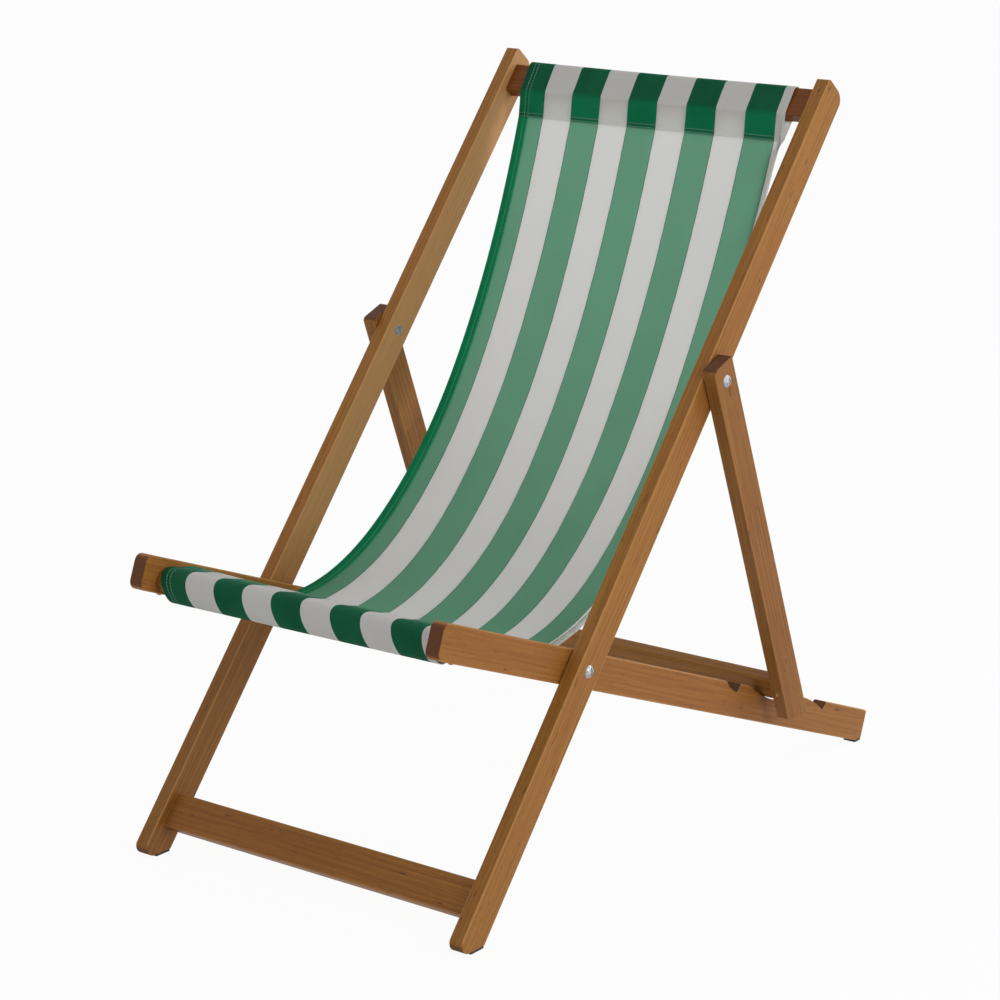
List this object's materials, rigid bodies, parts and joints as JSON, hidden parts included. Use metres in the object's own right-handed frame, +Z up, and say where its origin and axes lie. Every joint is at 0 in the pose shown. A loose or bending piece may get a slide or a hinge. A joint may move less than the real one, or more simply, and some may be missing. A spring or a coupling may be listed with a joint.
{
  "type": "deck chair",
  "caption": "Folding deck chair with hinged hardwood frames, a notched reclining prop and a striped hanging canvas seat.",
  "frame": {"origin": "on the floor under the middle of the open chair", "axes": "+Z up, the chair faces -Y, +X to the sitter's left, which is the right of the picture"},
  "size_m": [0.5978, 1.0108, 0.9951],
  "materials": {
    "rail_wood": "oiled",
    "crossbar_wood": "oiled",
    "canvas": "striped woven canvas",
    "brass": "dull",
    "zinc": "zinc plated",
    "pad": "matt"
  },
  "bodies": {
    "back_frame": {"back_rail_left": "rail_wood", "back_rail_right": "rail_wood", "top_rail": "crossbar_wood", "foot_stretcher": "crossbar_wood", "stretcher_pins": "brass", "top_rail_pins": "brass", "seat_pivot_bolts": "zinc", "seat_pivot_washers": "zinc", "prop_pivot_bolts": "zinc", "prop_pivot_washers": "zinc", "prop_pivot_nuts": "zinc", "front_pads": "pad", "front_pad_nails": "zinc", "canvas_top_sleeve": "canvas"},
    "seat_frame": {"seat_rail_left": "rail_wood", "seat_rail_right": "rail_wood", "front_rail": "crossbar_wood", "front_rail_pins": "brass", "seat_pivot_nuts": "zinc", "rear_pads": "pad", "rear_pad_nails": "zinc", "canvas_front_sleeve": "canvas", "canvas_span": "canvas"},
    "prop_frame": {"prop_strut_left": "rail_wood", "prop_strut_right": "rail_wood", "prop_crossbar": "crossbar_wood", "crossbar_pins": "brass"}
  },
  "joints": [
    {"name": "seat_fold", "type": "hinge", "parent": "back_frame", "child": "seat_frame", "pos_m": [0, -0.22937, 0.298], "axis": [1, 0, 0], "range_deg": [0, 70], "deforming": ["canvas_span"]},
    {"name": "prop_swing", "type": "hinge", "parent": "back_frame", "child": "prop_frame", "pos_m": [0, 0.04274, 0.62576], "axis": [1, 0, 0], "range_deg": [0, 120.4]}
  ],
  "couplings": [
    {"joint": "prop_swing", "follows": "seat_fold", "ratio": 1.72}
  ]
}
